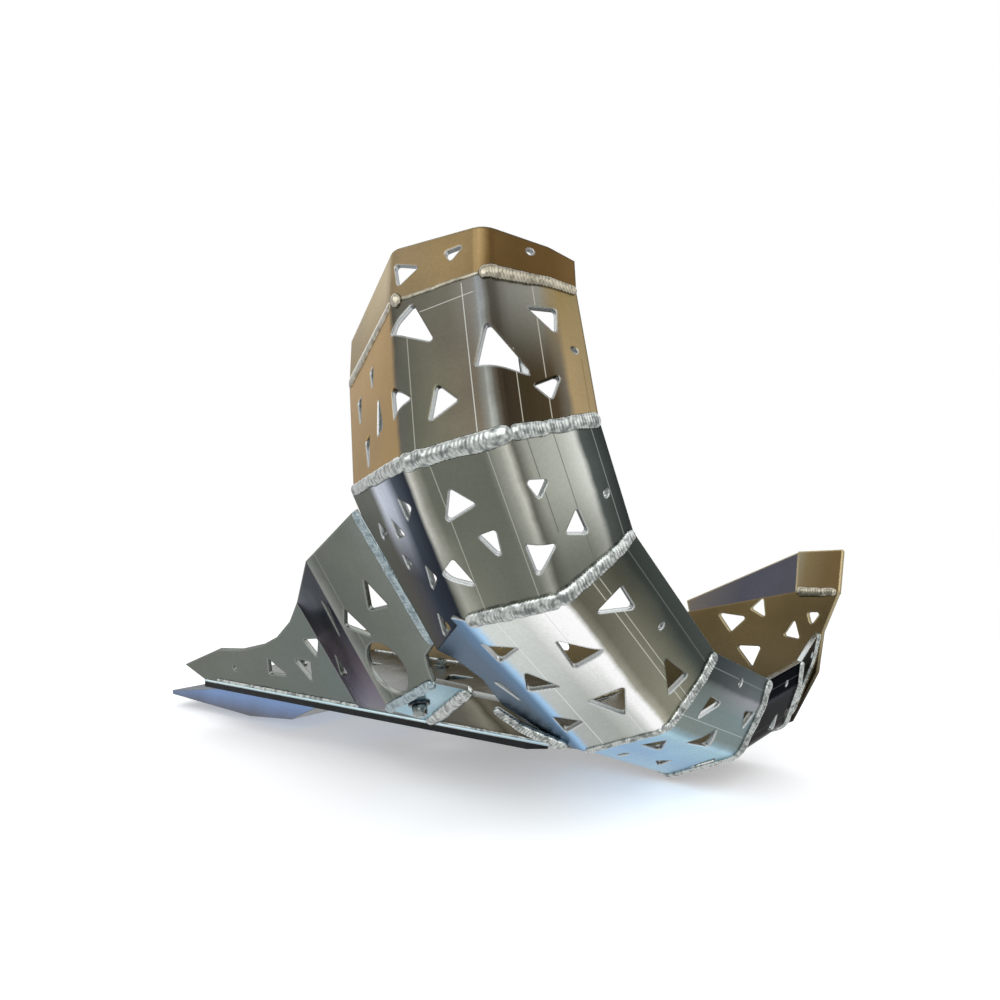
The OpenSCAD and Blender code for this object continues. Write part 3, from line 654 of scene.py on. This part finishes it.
# sheets with faces seen almost edge-on, which would shine too much
RIMS = {"guard_segment_5": 0.43, "guard_segment_6": 0.43, "right_wing": 0.35}
LINES = {GUARD_NAMES[i]: marks for i, marks in MARKS.items()}
LINES["right_wing"] = [FRONT_MARK]
GUARD_REFLECTIONS = {GUARD_NAMES[i]: guard_reflections(i, *lists) for i, lists in PAINTED_REFLECTION_BANDS.items()}
LOOKS = {"wear_plate": plastic, "wear_screws": zinc, "wear_nuts": zinc, "linkage_screws": zinc}
for name, paint_reflections in {**GUARD_REFLECTIONS, **FACED_REFLECTIONS}.items():
    LOOKS[name] = sheet_metal(
        "rolled_aluminium_" + name, paint_reflections, LINES.get(name, ()), RIMS.get(name, PLAIN_RIM))
for name, material in LOOKS.items():
    nodes[name].data.materials.clear()
    nodes[name].data.materials.append(material)


# weld beads
def joint_bead(name, segment, joint, runs, material):
    """Weld runs round a joint of the guard; a run has its two places on the section and the
    settings of its bead."""
    # the beads' crowns point away from the pipe line, or from a place inside the last joint
    middle = STARTS[segment] if joint < 7 else JOINT_AT[7] - 70 * ACROSS[6]
    parts = []
    for k, (u0, u1, look) in enumerate(runs):
        line = joint_line(segment, joint, u0, u1)
        flat = along(line, look.get("pitch", PITCH) / RINGS)[0] - middle
        flat -= np.outer(flat @ JOINT_N[joint], JOINT_N[joint])
        parts.append(bead(line, flat, seed=10 * joint + k, **look))
    mesh_piece(name + "_rippled", *joined(parts), material, "weld_bead", name)


def run_bead(name, runs, outward, material, **look):
    """Weld runs between sheets along chains of points, in one piece."""
    parts = [bead(np.array(run, float), outward, seed=k + len(name), **look)
             for k, run in enumerate(runs)]
    mesh_piece(name + "_rippled", *joined(parts), material, "weld_bead", name)


joint_bead("weld_lip", 1, 1, [
    (0.0, 0.97, dict(radius=[(0, 4.6), (1, 3.6)], depth=0.0, high=0.3)),
    (0.99, 1.12, dict(radius=5.6, pitch=3.0, high=0.75)),
    (1.1, 1.95, dict(radius=1.3, depth=0.0, high=0.8)),
    (1.93, 4.0, dict(radius=[(0, 5.8), (0.12, 5.4), (0.5, 4.2), (1, 3.4)],
                     pitch=2.3, depth=0.35, high=0.75)),
], weld_warm_reflection)
joint_bead("weld_1_2", 2, 2, [
    (0.0, 1.0, dict(radius=[(0, 3.4), (1, 4.8)], pitch=2.3, depth=0.38, high=0.7)),
    (0.97, 2.12, dict(radius=[(0, 5.6), (0.3, 5.2), (1, 6.0)], pitch=2.7, depth=0.32, high=0.7)),
    (2.05, 4.0, dict(radius=[(0, 5.4), (0.4, 4.2), (1, 4.6)], pitch=2.2, depth=0.42, high=0.75)),
], silver_weld)
joint_bead("weld_2_3", 3, 3, [
    (1.0, 2.0, dict(radius=[(0, 5.2), (0.3, 5.6), (1, 5.6)], pitch=2.5, depth=0.32, high=0.7)),
    (1.93, 4.0, dict(radius=[(0, 5.6), (0.4, 5.0), (1, 4.2)], pitch=2.3, depth=0.42, high=0.75)),
], silver_weld)
joint_bead("weld_3_4", 4, 4, [
    (1.0, 1.98, dict(radius=[(0, 2.6), (1, 2.4)], pitch=2.1, depth=0.3, high=0.7)),
    (1.95, 4.0, dict(radius=[(0, 3.0), (0.3, 3.9), (1, 4.2)], pitch=2.3, depth=0.38, high=0.75)),
], silver_weld)
joint_bead("weld_4_5", 5, 5, [
    (0.0, 4.0, dict(radius=[(0, 2.6), (1, 3.6)], pitch=2.2, depth=0.35, high=0.75)),
], silver_weld)
joint_bead("weld_5_6", 6, 6, [
    (0.0, 4.0, dict(radius=3.0, pitch=2.2, depth=0.32, high=0.75)),
], silver_weld)
joint_bead("weld_left_rim", 6, 7, [
    (1.0, 4.0, dict(radius=3.4, pitch=2.2, depth=0.32, high=0.75)),
], silver_weld)
run_bead("weld_wing_guard", [[PEAK, TOE]], (-0.3, -0.8, 0.1), weld_pale_reflection,
         radius=[(0, 4.4), (1, 5.0)], pitch=2.6, depth=0.35, high=0.45)
run_bead("weld_wing_foot", [[FOOT, FOOT_END]], (0.1, -0.8, -0.6), weld_pale_reflection,
         radius=3.6, pitch=2.2, depth=0.5)
run_bead("weld_ledge", [[ROOT, TIP]], (0.2, -0.5, -0.8), silver_weld,
         radius=[(0, 4.6), (0.3, 6.2), (1, 6.4)], pitch=2.6, depth=0.32, high=0.85)
run_bead("weld_gusset", [[(-7, -142, 41), (7, -129, 27), (28, -116, 17), (35, -112, 15)]],
         (0.1, -0.7, -0.7), silver_weld,
         radius=[(0, 3.4), (0.5, 4.6), (1, 4.8)], pitch=2.4, depth=0.42)
run_bead("weld_left_corner", [[(105, 119.3, 108), (139, 119.5, 110)]],
         (0, -1, 0.3), weld_warm_reflection,
         radius=[(0, 4.8), (0.3, 3.8), (1, 3.4)], pitch=2.2, depth=0.26)
run_bead("weld_base", [
    [(-370, -100, 12), (10, -100, 12)],
    [(-370, 108.7, 12), (-52, 108.7, 12)],
    [(-44, 108.7, 12), (-44, -4, 12), (-2, -50, 12), (34, -92, 12)],
], (0, 0, 1), silver_weld, radius=2.3, pitch=2.6, depth=0.4, sides=14)

# the ledge's bolt with its washer and nut, pointing out of the ledge's lower face; profiles
# are pairs of a radius and a height, and the flats' distance is from the axis
bolt_at = on_ledge(ROOT + np.array([34, -50, 28]))
head = [(4.6, -10.0), (5.6, -9.5), (5.8, -4.0)]
shank = [(3.0, -4.0), (3.0, 8.4)]
thread = [(3.0 if k % 2 else 2.6, 8.4 + 0.35 * k) for k in range(1, 4)]
bolt = head + shank + thread + [(2.2, 9.9)]
washer = [(7.8, 0.0), (8.2, 0.3), (8.2, 1.4), (7.8, 1.7)]
nut = [(4.8, 1.6), (5.6, 2.0), (6.2, 2.8), (6.2, 6.4), (5.4, 7.2), (5.2, 9.0), (4.8, 9.6),
       (3.4, 9.6), (3.2, 9.0)]
for name, profile, flats, steel, solid in (
    ("ledge_bolt_turned", bolt, 6.0, zinc, "ledge_bolt"),
    ("ledge_washer_turned", washer, math.inf, washer_steel, "ledge_nut"),
    ("ledge_nut_turned", nut, 5.4, zinc, "ledge_nut"),
):
    mesh_piece(name, *turned(profile, bolt_at, LEDGE_N, flats), steel, "zinc_steel", solid)


def and_mirrored(tree, share):
    """A share, and all of it for what is seen in a mirror or through glass."""
    ray = add(tree, "ShaderNodeLightPath")
    share = math_node(tree, "MAXIMUM", share, (ray, "Is Glossy Ray"))
    return math_node(tree, "MAXIMUM", share, (ray, "Is Transmission Ray"))


def studio():
    """White surroundings, a pale floor, and three wide soft lamps."""
    world = bpy.data.worlds.new("white_studio")
    bpy.context.scene.world = world
    world.use_nodes = True
    tree = world.node_tree
    tree.nodes.clear()
    seen = and_mirrored(tree, (add(tree, "ShaderNodeLightPath"), "Is Camera Ray"))
    dim = add(tree, "ShaderNodeBackground", [("Color", (0.95, 0.97, 1.0, 1)), ("Strength", 0.55)])
    white = add(tree, "ShaderNodeBackground", [("Color", (1, 1, 1, 1)), ("Strength", 1.0)])
    mixed = add(tree, "ShaderNodeMixShader", [(0, seen), (1, dim), (2, white)])
    add(tree, "ShaderNodeOutputWorld", [(0, mixed)])
    # the floor is 0.5 mm under the part's lowest point
    low = float(cad_box[0][2]) - 0.0005
    me = bpy.data.meshes.new("floor")
    me.from_pydata([(-8, -8, low), (8, -8, low), (8, 8, low), (-8, 8, low)], [], [(0, 1, 2, 3)])
    floor = bpy.data.objects.new("floor", me)
    bpy.context.scene.collection.objects.link(floor)
    # the paper keeps the object's shadow near it and is plain white far off
    mat, tree = fresh("pale_paper_floor")
    far = add(tree, "ShaderNodeVectorMath", [(0, object_place(tree)), (1, (0.2, 0.0, low))],
              operation="DISTANCE")
    share = and_mirrored(tree, soft_step(tree, (far, "Value"), 0.45, 1.1))
    paper = add(tree, "ShaderNodeBsdfDiffuse", [("Color", colour("#F4F5F5"))])
    glow = add(tree, "ShaderNodeEmission", [("Color", (1, 1, 1, 1)), ("Strength", 0.35)])
    near = add(tree, "ShaderNodeAddShader", [(0, paper), (1, glow)])
    white = add(tree, "ShaderNodeEmission", [("Color", (1, 1, 1, 1)), ("Strength", 1.0)])
    mixed = add(tree, "ShaderNodeMixShader", [(0, share), (1, near), (2, white)])
    add(tree, "ShaderNodeOutputMaterial", [(0, mixed)])
    me.materials.append(mat)
    for name, spot, size, power in (
        ("key", (0.95, -1.6, 1.49), 2.6, 24),
        ("fill", (1.85, 0.5, 1.2), 2.6, 10),
        ("back", (-0.85, 0.9, 1.49), 2.6, 12),
    ):
        lamp = bpy.data.lights.new(name, "AREA")
        lamp.shape, lamp.size, lamp.energy = "DISK", size, power
        light = bpy.data.objects.new(name, lamp)
        # each lamp is turned towards the middle of the part's front half
        way = unit(np.array([0.35, 0.0, 0.1]) - spot)
        light.location = spot
        light.rotation_euler = (math.acos(-way[2]), 0, math.atan2(way[0], -way[1]) + math.pi)
        bpy.context.scene.collection.objects.link(light)


studio()
scene = bpy.context.scene
scene.view_settings.view_transform = "Standard"
lens = bpy.data.cameras.new("camera")
lens.sensor_width, lens.lens = 36.0, 39.6
camera = bpy.data.objects.new("camera", lens)
camera.location = (0.820, -0.746, 0.197)
camera.rotation_euler = (math.radians(88.4), 0, math.radians(38.0))
scene.collection.objects.link(camera)
scene.camera = camera
